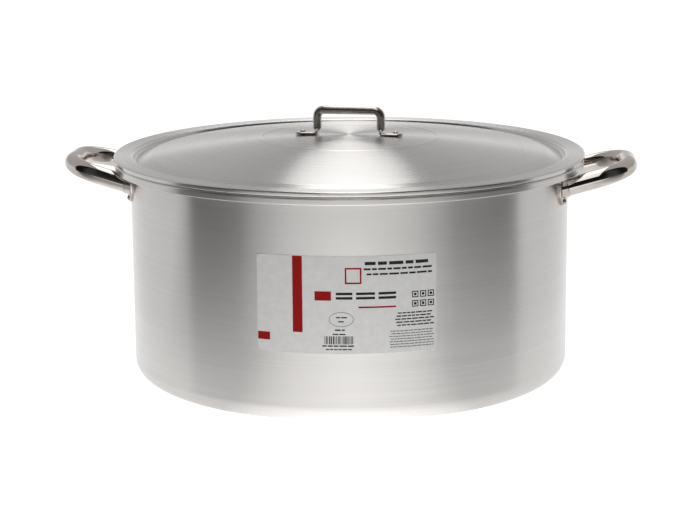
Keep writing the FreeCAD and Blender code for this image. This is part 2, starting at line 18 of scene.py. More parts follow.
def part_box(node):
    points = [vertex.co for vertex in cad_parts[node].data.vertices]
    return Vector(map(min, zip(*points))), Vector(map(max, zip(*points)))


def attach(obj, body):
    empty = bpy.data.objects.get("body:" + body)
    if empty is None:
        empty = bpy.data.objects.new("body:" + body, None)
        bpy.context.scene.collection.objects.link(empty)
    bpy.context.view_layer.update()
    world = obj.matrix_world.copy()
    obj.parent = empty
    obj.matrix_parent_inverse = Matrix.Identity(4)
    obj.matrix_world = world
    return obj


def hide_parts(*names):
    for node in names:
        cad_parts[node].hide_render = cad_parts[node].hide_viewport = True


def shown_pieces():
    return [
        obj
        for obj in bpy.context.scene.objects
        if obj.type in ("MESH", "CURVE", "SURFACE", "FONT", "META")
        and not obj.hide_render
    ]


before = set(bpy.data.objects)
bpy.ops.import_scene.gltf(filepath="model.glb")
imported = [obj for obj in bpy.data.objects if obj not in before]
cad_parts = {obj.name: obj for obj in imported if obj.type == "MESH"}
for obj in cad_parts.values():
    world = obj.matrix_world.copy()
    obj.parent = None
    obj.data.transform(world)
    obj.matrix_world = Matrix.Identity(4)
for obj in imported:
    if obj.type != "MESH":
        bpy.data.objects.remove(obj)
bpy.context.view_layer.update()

# %% [markdown]
# ## Driving sizes
#
# Heights and radii come from the CAD boxes, so the new meshes land on the CAD solids. Only what a
# box can't tell, such as sheet thickness and corner radii, is written here as a value.

# %% Sizes
MM = 0.001
_, POT_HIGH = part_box("pot_body")
_, LID_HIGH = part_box("lid_shell")
LABEL_LOW, LABEL_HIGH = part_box("label")

RIM_RADIUS = POT_HIGH.x
RIM_TOP = POT_HIGH.z
SHEET = 2.5 * MM                    # wall of the pot
BASE_SHEET = 3.0 * MM
WALL_RADIUS = RIM_RADIUS - 14.5 * MM
BASE_CORNER = 15.0 * MM
RIM_LIP = 7.1 * MM                  # height of the rim's turned-down lip
RIM_CORNER = 2.4 * MM
LIP_EDGE = 1.0 * MM
MOUTH_BEND = 5.0 * MM

LID_SHEET = 1.5 * MM
LID_RADIUS = LID_HIGH.x
LID_CROWN = LID_HIGH.z
LID_FLANGE = LID_CROWN - 15.2 * MM
LID_HEM = 4.1 * MM
LID_HEM_WIDTH = 3.4 * MM
LID_HEM_TOP = 1.5 * MM
LID_HEM_EDGE = 0.9 * MM
LID_MOUTH_RADIUS = LID_RADIUS - 17.9 * MM
LID_MOUTH_BEND = 2.6 * MM
LID_GROOVE_RADIUS = LID_RADIUS - 19.1 * MM
LID_GROOVE_DEPTH = 6.5 * MM
LID_GROOVE_BEND = 1.8 * MM
LID_SHOULDER = (LID_RADIUS - 34.7 * MM, LID_FLANGE + 0.2 * MM)
LID_SHOULDER_BEND = 6.5 * MM
LID_CREASE = (82.0 * MM, LID_FLANGE + 12.8 * MM)
LID_DOME_RADIUS = 1357.0 * MM
BEAD_HALF = 1.0 * MM                # fine raised line round the crease
BEAD_RISE = 0.4 * MM
BEAD_ROUND = 0.8 * MM
TIGHT_CORNER = 0.4 * MM             # hidden inner corners of a fold

print("pot %.1f mm across, %.1f mm high" % (2 * RIM_RADIUS / MM, RIM_TOP / MM))

# %% [markdown]
# ## The camera
#
# The pot is seen from a little above and a few degrees round to the right, with a long lens, so its
# sides stay almost parallel. The camera is placed by its distance and height angle from a point on
# the pot's axis, and leans a fraction of a degree.

# %% Camera
CAMERA_TURN = math.radians(5.0)      # round from -Y toward +X
CAMERA_RISE = math.radians(12.43)
CAMERA_TILT = math.radians(-0.42)
CAMERA_DISTANCE = 1.887
CAMERA_AIM = Vector((0.0, 0.0, 0.0981))
SENSOR = 36.0
LENS = 103.17

right = Vector((math.cos(CAMERA_TURN), math.sin(CAMERA_TURN), 0))
back = Vector((math.sin(CAMERA_TURN) * math.cos(CAMERA_RISE),
               -math.cos(CAMERA_TURN) * math.cos(CAMERA_RISE), math.sin(CAMERA_RISE)))
up = back.cross(right)
camera_right = right * math.cos(CAMERA_TILT) + up * math.sin(CAMERA_TILT)
camera_up = up * math.cos(CAMERA_TILT) - right * math.sin(CAMERA_TILT)
camera_data = bpy.data.cameras.new("camera")
camera_data.sensor_width = SENSOR
camera_data.lens = LENS
camera = bpy.data.objects.new("camera", camera_data)
bpy.context.scene.collection.objects.link(camera)
camera.matrix_world = (Matrix.Translation(CAMERA_AIM + back * CAMERA_DISTANCE)
                       @ Matrix((camera_right, camera_up, back)).transposed().to_4x4())
bpy.context.scene.camera = camera
print("camera at", [round(value, 3) for value in camera.matrix_world.translation])

# %% [markdown]
# ## From outline to shell
#
# Spun cookware is a flat disc pressed over a turning former, so its mesh is made the same way: half
# of its section is drawn once and turned about the axis. Corners are drawn sharp and then rounded
# with a vertex bevel, which keeps the outline short and the radii exact. Long straight stretches get
# an extra point close to each end, so that smooth shading can't bleed out of a corner into a flat.

# %% Outline helpers
SHARP = math.radians(40)            # edges turned more than this are shaded as sharp


def finish_mesh(name, mesh_maker, body):
    """Turns a bmesh into a smooth-shaded object that rides on a body."""
    bmesh.ops.recalc_face_normals(mesh_maker, faces=mesh_maker.faces[:])
    mesh = bpy.data.meshes.new(name)
    mesh_maker.to_mesh(mesh)
    mesh_maker.free()
    mesh.shade_smooth()
    mesh.set_sharp_from_angle(angle=SHARP)
    piece = bpy.data.objects.new(name, mesh)
    bpy.context.scene.collection.objects.link(piece)
    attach(piece, body)
    print("%-24s %6d faces" % (name, len(mesh.polygons)))
    return piece


def draw_outline(corners):
    """A chain of edges in the XZ plane. A corner is (radius, height, rounding)."""
    outline = bmesh.new()
    points = [outline.verts.new((radius, 0, height)) for radius, height, _ in corners]
    for first, second in zip(points, points[1:]):
        outline.edges.new((first, second))
    for point, (_, _, rounding) in zip(points, corners):
        if rounding:
            round_corner(outline, point, rounding)
    return outline


def round_corner(outline, point, rounding, steps=8):
    """Replaces a corner by an arc of radius rounding."""
    ways = [(edge.other_vert(point).co - point.co).normalized() for edge in point.link_edges]
    half_angle = ways[0].angle(ways[1]) / 2
    bmesh.ops.bevel(outline, geom=[point], offset=rounding / math.tan(half_angle),
                    offset_type="OFFSET", segments=steps, profile=0.5, affect="VERTICES",
                    material=-1)


def support_long_edges(outline, longest, margin):
    """Adds a point near both ends of each long edge, and more between."""
    for edge in [edge for edge in outline.edges if edge.calc_length() > 4 * margin]:
        start = edge.verts[0]
        length = edge.calc_length()
        _, middle = bmesh.utils.edge_split(edge, start, margin / length)
        rest = next(other for other in middle.link_edges if start not in other.verts)
        _, inner = bmesh.utils.edge_split(rest, middle, 1 - margin / rest.calc_length())
        between = next(other for other in middle.link_edges if inner in other.verts)
        cuts = int(between.calc_length() / longest)
        if cuts:
            bmesh.ops.subdivide_edges(outline, edges=[between], cuts=cuts)


def turn_outline(outline, steps):
    """Spins the outline all the way round the pot's axis and closes it."""
    bmesh.ops.spin(outline, geom=outline.verts[:] + outline.edges[:], cent=(0, 0, 0),
                   axis=(0, 0, 1), angle=math.tau, steps=steps, use_merge=True,
                   use_duplicate=False)
    bmesh.ops.remove_doubles(outline, verts=outline.verts[:], dist=1e-6)


# %% [markdown]
# ## The pot
#
# The pot is one piece of 2.5 mm sheet: a flat base, a generous corner, a straight wall, and a rim
# that flares outward and turns down into a stiff lip. The section runs from the axis along the
# outside, over the rim, and back down the inside to the axis.

# %% Pot shell
TURNS = 192                         # steps round the pot, fine enough for a smooth outline

inside = WALL_RADIUS - SHEET
lip_inside = RIM_RADIUS - SHEET
pot_section = draw_outline([
    (0, 0, 0),
    (WALL_RADIUS, 0, BASE_CORNER),
    (WALL_RADIUS, RIM_TOP - SHEET, MOUTH_BEND - SHEET),
    (lip_inside, RIM_TOP - SHEET, TIGHT_CORNER),
    (lip_inside, RIM_TOP - RIM_LIP, LIP_EDGE),
    (RIM_RADIUS, RIM_TOP - RIM_LIP, LIP_EDGE),
    (RIM_RADIUS, RIM_TOP, RIM_CORNER),
    (inside, RIM_TOP, MOUTH_BEND),
    (inside, BASE_SHEET, BASE_CORNER - SHEET),
    (0, BASE_SHEET, 0),
])
support_long_edges(pot_section, longest=12 * MM, margin=0.8 * MM)
turn_outline(pot_section, TURNS)
pot_shell = finish_mesh("pot_shell", pot_section, "pot")
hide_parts("pot_body")

# %% [markdown]
# ## The lid
#
# The lid is spun from thinner sheet. A folded hem stiffens its edge, a flat flange rests over the
# rim, and a groove drops inside the pot's mouth to centre it. From the groove a short slope rises to
# a shoulder, then a very flat dome runs in to a faint crease ring and the flatter middle. Both dome
# sections are arcs, worked out by a formula, because they are too large for a bevel.

# %% Lid shell
def dome_points(start, end, radius, count):
    """Points between start and end on an arc that bulges upward, both ends left out."""
    first, last = Vector(start), Vector(end)
    chord = last - first
    rise = Vector((-chord.y, chord.x)).normalized()
    if rise.y < 0:
        rise.negate()
    centre = (first + last) / 2 - rise * math.sqrt(radius ** 2 - chord.length_squared / 4)
    angles = [math.atan2(point.y - centre.y, point.x - centre.x) for point in (first, last)]
    steps = [angles[0] + (angles[1] - angles[0]) * step / (count + 1)
             for step in range(1, count + 1)]
    return [(centre.x + radius * math.cos(angle), centre.y + radius * math.sin(angle), 0)
            for angle in steps]


crown = (0, LID_CROWN)
crown_rise = LID_CROWN - LID_CREASE[1]
crown_radius = (LID_CREASE[0] ** 2 + crown_rise ** 2) / (2 * crown_rise)
groove_low = LID_FLANGE - LID_GROOVE_DEPTH
hem_low = LID_FLANGE - LID_HEM
# the bead's feet lie on the dome: a little above the crease inside it, a little below outside
bead = [(LID_CREASE[0] - BEAD_HALF, LID_CREASE[1] + 0.05 * MM, 0),
        (LID_CREASE[0], LID_CREASE[1] + BEAD_RISE, BEAD_ROUND),
        (LID_CREASE[0] + BEAD_HALF, LID_CREASE[1] - 0.1 * MM, 0)]
upper_dome = (dome_points(crown, LID_CREASE, crown_radius, 10) + bead
              + dome_points(LID_CREASE, LID_SHOULDER, LID_DOME_RADIUS, 12))
lower_dome = [(radius, height - LID_SHEET, 0) for radius, height, _ in reversed(upper_dome)]
lid_section = draw_outline([
    (*crown, 0), *upper_dome,
    (*LID_SHOULDER, LID_SHOULDER_BEND),
    (LID_GROOVE_RADIUS, groove_low, LID_GROOVE_BEND),
    (LID_MOUTH_RADIUS, LID_FLANGE, LID_MOUTH_BEND),
    (LID_RADIUS, LID_FLANGE, LID_HEM_TOP),
    (LID_RADIUS, hem_low, LID_HEM_EDGE),
    (LID_RADIUS - LID_HEM_WIDTH, hem_low, LID_HEM_EDGE),
    (LID_RADIUS - LID_HEM_WIDTH, LID_FLANGE - LID_SHEET, TIGHT_CORNER),
    (LID_MOUTH_RADIUS + LID_SHEET, LID_FLANGE - LID_SHEET, LID_MOUTH_BEND - LID_SHEET),
    (LID_GROOVE_RADIUS + LID_SHEET, groove_low - LID_SHEET, LID_GROOVE_BEND + LID_SHEET),
    (LID_SHOULDER[0], LID_SHOULDER[1] - LID_SHEET, LID_SHOULDER_BEND - LID_SHEET),
    *lower_dome, (0, LID_CROWN - LID_SHEET, 0),
])
support_long_edges(lid_section, longest=9 * MM, margin=0.5 * MM)
turn_outline(lid_section, TURNS)
lid_shell = finish_mesh("lid_spun_shell", lid_section, "lid")
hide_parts("lid_shell")

# %% [markdown]
# ## Side handles
#
# Each handle is a stainless tube bent twice on a tube bender, so its mesh follows the same path: a
# ring of points is pushed along the leg, turned round the bend's centre, pushed along the grip, and
# the same again for the other leg. The loop lies in a plane that rises outward. Its open ends are
# cut flat by a plane just outside the wall, and closed.

# %% Side handles
TUBE_RADIUS = 8.25 * MM
HANDLE_PLANE = 204.0 * MM
HANDLE_HEIGHT = 181.3 * MM
HANDLE_TILT = math.radians(15.0)
HANDLE_LEAN = math.radians(6.0)
HANDLE_SPACING = 96.0 * MM
HANDLE_REACH = 54.6 * MM
HANDLE_ROOT = 14.0 * MM
HANDLE_BEND = 34.0 * MM
BEND_STEPS = 20
RING_STEPS = 40
SEAT_TURN = math.radians(13.86)     # where each leg meets the wall, round from the X axis
SEAT_HEIGHT = 179.57 * MM


def extend(mesh_maker, ring, step, lengths):
    """Pushes a ring of edges along a direction, one stretch per length, and returns the last ring."""
    for length in lengths:
        made = bmesh.ops.extrude_edge_only(mesh_maker, edges=ring)["geom"]
        bmesh.ops.translate(mesh_maker, vec=step * length,
                            verts=[item for item in made if isinstance(item, bmesh.types.BMVert)])
        ring = [item for item in made if isinstance(item, bmesh.types.BMEdge)
                and len(item.link_faces) == 1]
    return ring


def bend_ring(mesh_maker, ring, centre, axis, angle, steps):
    """Turns a ring of edges about an axis and returns the last ring."""
    points = list({point for edge in ring for point in edge.verts})
    made = bmesh.ops.spin(mesh_maker, geom=points + ring, cent=centre, axis=axis, angle=angle,
                          steps=steps, use_merge=False, use_duplicate=False)["geom_last"]
    return [item for item in made if isinstance(item, bmesh.types.BMEdge)]


def bent_tube():
    """The right handle's tube in its own flat plane: X outward, Y along the grip."""
    step = Vector((math.cos(HANDLE_LEAN), -math.sin(HANDLE_LEAN), 0))
    inward = Vector((-math.sin(HANDLE_LEAN), -math.cos(HANDLE_LEAN), 0))
    start = Vector((0, HANDLE_SPACING / 2, 0)) - step * HANDLE_ROOT
    along = (HANDLE_REACH - HANDLE_BEND - start.x - inward.x * HANDLE_BEND) / step.x
    centre = start + step * along + inward * HANDLE_BEND
    tube = bmesh.new()
    bmesh.ops.create_circle(tube, segments=RING_STEPS, radius=TUBE_RADIUS, cap_ends=False)
    bmesh.ops.transform(tube, verts=tube.verts[:], matrix=Matrix.Translation(start)
                        @ step.to_track_quat("Z", "X").to_matrix().to_4x4())
    turn = math.pi / 2 - HANDLE_LEAN
    grip = 2 * centre.y
    other_centre = Vector((centre.x, -centre.y, 0))
    back_step = Vector((-step.x, step.y, 0))
    ring = extend(tube, tube.edges[:], step, [along / 6] * 6)
    ring = bend_ring(tube, ring, centre, (0, 0, -1), turn, BEND_STEPS)
    ring = extend(tube, ring, Vector((0, -1, 0)), [grip / 6] * 6)
    ring = bend_ring(tube, ring, other_centre, (0, 0, -1), turn, BEND_STEPS)
    extend(tube, ring, back_step, [along / 6] * 6)
    return tube


def side_handle(name, turn):
    tube = bent_tube()
    tilt = Matrix.Rotation(-HANDLE_TILT, 4, "Y")
    place = Matrix.Translation((HANDLE_PLANE, 0, HANDLE_HEIGHT))
    bmesh.ops.transform(tube, verts=tube.verts[:], matrix=place @ tilt)
    for side in (1, -1):
        leg = [face for face in tube.faces if face.calc_center_median().y * side > 0]
        parts = {part for face in leg for part in (*face.verts, *face.edges)}
        outward = Vector((math.cos(SEAT_TURN), math.sin(SEAT_TURN) * side, 0))
        bmesh.ops.bisect_plane(tube, geom=leg + list(parts), clear_inner=True,
                               plane_co=outward * (WALL_RADIUS + 0.3 * MM), plane_no=outward)
    open_edges = [edge for edge in tube.edges if edge.is_boundary]
    bmesh.ops.holes_fill(tube, edges=open_edges, sides=0)
    bmesh.ops.rotate(tube, verts=tube.verts[:], matrix=Matrix.Rotation(turn, 3, "Z"))
    return finish_mesh(name, tube, "pot")


right_loop = side_handle("right_loop", 0)
left_loop = side_handle("left_loop", math.pi)
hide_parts("right_handle")
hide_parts("left_handle")
for piece in (right_loop, left_loop):
    far = max(abs(vert.co.x) for vert in piece.data.vertices)
    print(piece.name, "reaches %.1f mm from the axis" % (1000 * far))

# %% [markdown]
# ## Plates under the handles
#
# Each leg ends in a small oval plate pressed from sheet. It follows the curve of the wall, takes two
# rivets, and has a short collar that hugs the tube. The plate is drawn flat as a rounded rectangle,
# given its thickness and a soft edge, and then wrapped on the wall as a press would do.

# %% Handle plates
PLATE_WIDTH = 25.0 * MM
PLATE_TALL = 31.3 * MM
PLATE_THICKNESS = 2.2 * MM
PLATE_CORNER = 12.0 * MM
PLATE_EDGE = 0.7 * MM
PLATE_RISE = 0.2 * MM               # plate centre above the leg's
PLATE_LARGE_FACE = 1e-5             # in square metres; only its two flat sides are larger
COLLAR_RADIUS = 9.1 * MM
COLLAR_REACH = 5.0 * MM             # from the wall, along the leg
COLLAR_ROOT = 10.0 * MM             # drawn this far into the wall, then cut off
COLLAR_EDGE = 0.8 * MM
LEG_STEP = Vector((math.cos(HANDLE_LEAN) * math.cos(HANDLE_TILT), -math.sin(HANDLE_LEAN),
                   math.cos(HANDLE_LEAN) * math.sin(HANDLE_TILT)))
CORNERS = {
    "right_rear": (SEAT_TURN, 1),
    "right_front": (-SEAT_TURN, -1),
    "left_front": (math.pi + SEAT_TURN, 1),
    "left_rear": (math.pi - SEAT_TURN, -1),
}


def rounded_blank(width, height, corner, steps):
    """A flat rounded rectangle in the XY plane, centred, as one face."""
    blank = bmesh.new()
    bmesh.ops.create_grid(blank, x_segments=1, y_segments=1, size=0.5)
    bmesh.ops.scale(blank, vec=(width, height, 1), verts=blank.verts[:])
    bmesh.ops.bevel(blank, geom=blank.verts[:], offset=corner, offset_type="OFFSET",
                    segments=steps, profile=0.5, affect="VERTICES", material=-1)
    return blank


def wrap_on_wall(mesh_maker, radius, middle_turn, middle_height):
    """Bends a flat piece (X round the wall, Y up, Z outward) onto a cylinder."""
    for point in mesh_maker.verts:
        turn = middle_turn + point.co.x / radius
        reach = radius + point.co.z
        point.co = (reach * math.cos(turn), reach * math.sin(turn), middle_height + point.co.y)


def plate_flange(corner, turn):
    flange = rounded_blank(PLATE_WIDTH, PLATE_TALL, PLATE_CORNER, 12)
    made = bmesh.ops.extrude_face_region(flange, geom=flange.faces[:])["geom"]
    top = [item for item in made if isinstance(item, bmesh.types.BMVert)]
    bmesh.ops.translate(flange, vec=(0, 0, PLATE_THICKNESS), verts=top)
    bmesh.ops.recalc_face_normals(flange, faces=flange.faces[:])
    rim = [edge for edge in flange.edges if all(vert in top for vert in edge.verts)]
    bmesh.ops.bevel(flange, geom=rim, offset=PLATE_EDGE, offset_type="OFFSET", segments=4,
                    profile=0.5, affect="EDGES", material=-1)
    for facing in (1, -1):
        middle = next(face for face in flange.faces if face.normal.z * facing > 0.99
                      and face.calc_area() > PLATE_LARGE_FACE)
        # rings of faces that let the flat side bend with the wall
        for step in (0.3, 2.0, 3.0, 3.0, 2.0):
            bmesh.ops.inset_region(flange, faces=[middle], thickness=step * MM, depth=0)
    wrap_on_wall(flange, WALL_RADIUS, turn, SEAT_HEIGHT + PLATE_RISE)
    return finish_mesh(corner + "_flange", flange, "pot")


def plate_collar(corner, turn, side):
    """A short solid ring round the leg, cut off behind the plate's front face."""
    collar = draw_outline([(0, COLLAR_REACH, 0), (COLLAR_RADIUS, COLLAR_REACH, COLLAR_EDGE),
                           (COLLAR_RADIUS, -COLLAR_ROOT, 0), (0, -COLLAR_ROOT, 0)])
    turn_outline(collar, 48)
    step = Matrix.Rotation(-SEAT_TURN, 3, "Z") @ LEG_STEP
    step.y *= side
    place = Matrix.Translation((WALL_RADIUS, 0, SEAT_HEIGHT))
    bmesh.ops.transform(collar, verts=collar.verts[:],
                        matrix=place @ step.to_track_quat("Z", "Y").to_matrix().to_4x4())
    bmesh.ops.bisect_plane(collar, geom=collar.verts[:] + collar.edges[:] + collar.faces[:],
                           plane_co=(WALL_RADIUS + PLATE_THICKNESS / 2, 0, 0),
                           plane_no=(1, 0, 0), clear_inner=True)
    open_edges = [edge for edge in collar.edges if edge.is_boundary]
    bmesh.ops.holes_fill(collar, edges=open_edges, sides=0)
    bmesh.ops.rotate(collar, verts=collar.verts[:], matrix=Matrix.Rotation(turn, 3, "Z"))
    return finish_mesh(corner + "_collar", collar, "pot")


for corner, (turn, side) in CORNERS.items():
    for piece in (plate_flange(corner, turn), plate_collar(corner, turn, side)):
        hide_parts(corner + "_plate")

# %% [markdown]
# ## Rivets
#
# Solid rivets go through plate and wall. Outside each has a small domed head. Inside the pot the
# shank is hammered to a wider, flatter button. Both ends are one turned outline.

# %% Rivets
RIVET_RADIUS = 2.0 * MM
HEAD_RADIUS = 2.7 * MM
HEAD_HEIGHT = 1.9 * MM
TAIL_RADIUS = 4.2 * MM
TAIL_FLAT = 2.9 * MM                # radius of the tail's flat end
TAIL_HEIGHT = 1.3 * MM
STRAIGHT_EDGE = 0.5 * MM            # height of the straight side of head and tail
FINE_EDGE = 0.2 * MM
TAIL_PLAY = 0.06 * MM               # between the tail and the sheet under it
HEAD_PLAY = 0.02 * MM
RIVET_LEVELS = {"upper": 13.0 * MM, "lower": -12.0 * MM}


def rivet(name, body, grip, position, direction):
    edge = grip + STRAIGHT_EDGE
    dome = grip + HEAD_HEIGHT - edge
    dome_radius = (HEAD_RADIUS ** 2 + dome ** 2) / (2 * dome)
    peak = (0, grip + HEAD_HEIGHT)
    shank = draw_outline([
        (*peak, 0), *dome_points(peak, (HEAD_RADIUS, edge), dome_radius, 6),
        (HEAD_RADIUS, edge, 0), (HEAD_RADIUS, grip, FINE_EDGE), (RIVET_RADIUS, grip, 0),
        (RIVET_RADIUS, 0, 0), (TAIL_RADIUS, 0, FINE_EDGE),
        (TAIL_RADIUS, -STRAIGHT_EDGE, 2 * FINE_EDGE),
        (TAIL_FLAT, -TAIL_HEIGHT, 4 * FINE_EDGE), (0, -TAIL_HEIGHT, 0),
    ])
    turn_outline(shank, 32)
    bmesh.ops.transform(shank, verts=shank.verts[:], matrix=Matrix.Translation(position)
                        @ direction.to_track_quat("Z", "Y").to_matrix().to_4x4())
    piece = finish_mesh(name + "_turned", shank, body)
    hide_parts(name)
    return piece


for corner, (turn, _) in CORNERS.items():
    outward = Vector((math.cos(turn), math.sin(turn), 0))
    for level, rise in RIVET_LEVELS.items():
        start = outward * (WALL_RADIUS - SHEET - TAIL_PLAY) + Vector((0, 0, SEAT_HEIGHT + rise))
        rivet("%s_%s_rivet" % (corner, level), "pot",
              TAIL_PLAY + SHEET + PLATE_THICKNESS + HEAD_PLAY, start, outward)
for side in ("right", "left"):
    low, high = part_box("lid_%s_rivet" % side)
    start = Vector(((low.x + high.x) / 2, (low.y + high.y) / 2, low.z + TAIL_HEIGHT))
    rivet("lid_%s_rivet" % side, "lid", high.z - HEAD_HEIGHT - start.z, start, Vector((0, 0, 1)))

# %% [markdown]
# ## The lid's handle
#
# One length of round bar makes the bridge. Each end is pressed flat, bent outward to lie on the lid,
# and riveted. Half of it is made as a straight bar, the flat end is pressed, and the bar then
# follows its bent centre line. The other half is its mirror image.

# %% Lid handle
GRIP_RADIUS = 4.0 * MM
GRIP_HALF = 30.0 * MM               # bar centre to bar centre, halved
GRIP_TOP = 22.2 * MM
GRIP_BEND = 6.5 * MM
FOOT_END = 50.5 * MM
FOOT_HALF_WIDTH = 7.0 * MM
FOOT_HALF_THICKNESS = 1.1 * MM
FOOT_LEVEL = FOOT_HALF_THICKNESS - 0.36 * MM
FOOT_BEND = 1.7 * MM
FOOT_TIP = 6.6 * MM                 # length over which the foot's end is rounded
TAPER_TOP = 5.2 * MM                # the leg is round above this height
TAPER_END = 2.5 * MM                # and flat below this one
PRESSED_ROUND = 1.9 * MM            # half thickness of the pressed bar before its sides go flat
LID_TURN = math.radians(-5.0)

BEND_ARC = GRIP_BEND * math.pi / 2
FOOT_ARC = FOOT_BEND * math.pi / 2
TOP_LENGTH = GRIP_HALF - GRIP_BEND
LEG_TOP = GRIP_TOP - GRIP_BEND
LEG_LENGTH = LEG_TOP - FOOT_LEVEL - FOOT_BEND
FOOT_START = TOP_LENGTH + BEND_ARC + LEG_LENGTH + FOOT_ARC
FOOT_LENGTH = FOOT_END - GRIP_HALF - FOOT_BEND


def bridge_line(length):
    """Point and outer side of the bridge's centre line, a length from its middle."""
    if length < TOP_LENGTH:
        return Vector((length, 0, GRIP_TOP)), Vector((0, 0, 1))
    length -= TOP_LENGTH
    if length < BEND_ARC:
        turn = length / GRIP_BEND
        side = Vector((math.sin(turn), 0, math.cos(turn)))
        return Vector((TOP_LENGTH, 0, LEG_TOP)) + side * GRIP_BEND, side
    length -= BEND_ARC
    if length < LEG_LENGTH:
        return Vector((GRIP_HALF, 0, LEG_TOP - length)), Vector((1, 0, 0))
    length -= LEG_LENGTH
    turn = min(length, FOOT_ARC) / FOOT_BEND
    side = Vector((math.cos(turn), 0, math.sin(turn)))
    centre = Vector((GRIP_HALF + FOOT_BEND, 0, FOOT_LEVEL + FOOT_BEND))
    return centre - side * FOOT_BEND + Vector((max(length - FOOT_ARC, 0), 0, 0)), side


def pressed(length):
    """How far the bar is pressed flat, 0 round to 1 flat, and the rounding of the foot's tip."""
    leg = length - TOP_LENGTH - BEND_ARC
    share = min(max((leg - (LEG_TOP - TAPER_TOP)) / (TAPER_TOP - TAPER_END), 0), 1)
    past = length - (FOOT_START + FOOT_LENGTH - FOOT_TIP)
    tip = math.sqrt(max(1 - (past / FOOT_TIP) ** 2, 0)) if past > 0 else 1
    return share * share * (3 - 2 * share), tip


half_bridge = bmesh.new()
bmesh.ops.create_circle(half_bridge, segments=RING_STEPS, radius=1, cap_ends=False)
stretches = [TOP_LENGTH / 3] * 3 + [BEND_ARC / 10] * 10 + [(LEG_TOP - TAPER_TOP) / 6] * 6
stretches += [(LEG_LENGTH - LEG_TOP + TAPER_TOP) / 10] * 10
stretches += [FOOT_ARC / 6] * 6 + [(FOOT_LENGTH - FOOT_TIP) / 5] * 5
stretches += [FOOT_TIP * (math.sin(math.pi * (step + 1) / 18) - math.sin(math.pi * step / 18))
              for step in range(9)]
stretches[-1] -= 0.02 * MM
last_ring = extend(half_bridge, half_bridge.edges[:], Vector((0, 0, 1)), stretches)
bmesh.ops.holes_fill(half_bridge, edges=last_ring, sides=0)
for point in half_bridge.verts:
    flat, tip = pressed(point.co.z)
    wide = (GRIP_RADIUS + (FOOT_HALF_WIDTH - GRIP_RADIUS) * flat) * tip
    thick = GRIP_RADIUS + (PRESSED_ROUND - GRIP_RADIUS) * flat
    limit = GRIP_RADIUS + (FOOT_HALF_THICKNESS - GRIP_RADIUS) * flat
    outward = min(max(point.co.x * thick, -limit), limit)
    centre, side = bridge_line(point.co.z)
    point.co = centre + side * outward + Vector((0, point.co.y * wide, 0))
bmesh.ops.mirror(half_bridge, geom=half_bridge.verts[:] + half_bridge.edges[:]
                 + half_bridge.faces[:], axis="X", merge_dist=1e-6)
bmesh.ops.remove_doubles(half_bridge, verts=half_bridge.verts[:], dist=1e-6)
bmesh.ops.transform(half_bridge, verts=half_bridge.verts[:],
                    matrix=Matrix.Translation((0, 0, LID_CROWN))
                    @ Matrix.Rotation(LID_TURN, 4, "Z"))
lid_bridge = finish_mesh("lid_bridge", half_bridge, "lid")
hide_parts("lid_handle")

# %% [markdown]
# ## The label
#
# A satin film label is wrapped on the front of the wall. Its print is generic: a red stripe and
# blocks, plain bars where words would be, a few small squares, an oval and a bar code that codes
# nothing. Film and print are drawn flat in millimetres from the label's middle, then wrapped.

# %% Label
LABEL_TURN = math.radians(-85.9)
LABEL_MIDDLE = (LABEL_LOW.z + LABEL_HIGH.z) / 2
LABEL_TALL = LABEL_HIGH.z - LABEL_LOW.z
LABEL_WIDTH = 155.5 * MM
LABEL_CORNER = 3.0 * MM
FILM = 0.2 * MM
INK = 0.04 * MM
STRIP = 4.0 * MM                    # flat strips no wider than this follow the wall's curve


def thicken(mesh_maker, amount):
    made = bmesh.ops.extrude_face_region(mesh_maker, geom=mesh_maker.faces[:])["geom"]
    top = [item for item in made if isinstance(item, bmesh.types.BMVert)]
    bmesh.ops.translate(mesh_maker, vec=(0, 0, amount), verts=top)


def cut_into_strips(mesh_maker, width):
    for count in range(1, int(width / STRIP) + 1):
        place = -width / 2 + count * width / (int(width / STRIP) + 1)
        geometry = mesh_maker.verts[:] + mesh_maker.edges[:] + mesh_maker.faces[:]
        bmesh.ops.bisect_plane(mesh_maker, geom=geometry, plane_co=(place, 0, 0),
                               plane_no=(1, 0, 0))


def print_bar(ink, left, right, low, high):
    """Adds one filled rectangle, in millimetres from the label's middle."""
    width, height = (right - left) * MM, (high - low) * MM
    middle = Vector(((left + right) / 2 * MM, (low + high) / 2 * MM, 0))
    bmesh.ops.create_grid(ink, x_segments=int(width / STRIP) + 1, y_segments=1, size=0.5,
                          matrix=Matrix.Translation(middle)
                          @ Matrix.Diagonal((width, height, 1, 1)))


def print_words(ink, left, right, middle, height, chance):
    """A line of plain bars of uneven length, in place of words."""
    place = left
    while place < right - 2 * height:
        word = min(chance.uniform(2.2, 5.5) * height, right - place)
        print_bar(ink, place, place + word, middle - height / 2, middle + height / 2)
        place += word + 0.7 * height


def print_frame(ink, middle, width, height, line):
    """A hollow rectangle, made of four bars."""
    left, right = middle[0] - width / 2, middle[0] + width / 2
    low, high = middle[1] - height / 2, middle[1] + height / 2
    print_bar(ink, left, right, low, low + line)
    print_bar(ink, left, right, high - line, high)
    print_bar(ink, left, left + line, low + line, high - line)
    print_bar(ink, right - line, right, low + line, high - line)


def print_oval(ink, middle, width, height, line):
    """A thin oval ring."""
    made = bmesh.ops.create_circle(
        ink, segments=48, radius=0.5, cap_ends=True,
        matrix=Matrix.Translation((middle[0] * MM, middle[1] * MM, 0))
        @ Matrix.Diagonal((width * MM, height * MM, 1, 1)))
    face = made["verts"][0].link_faces[0]
    bmesh.ops.inset_individual(ink, faces=[face], thickness=line * MM, depth=0)
    bmesh.ops.delete(ink, geom=[face], context="FACES_ONLY")


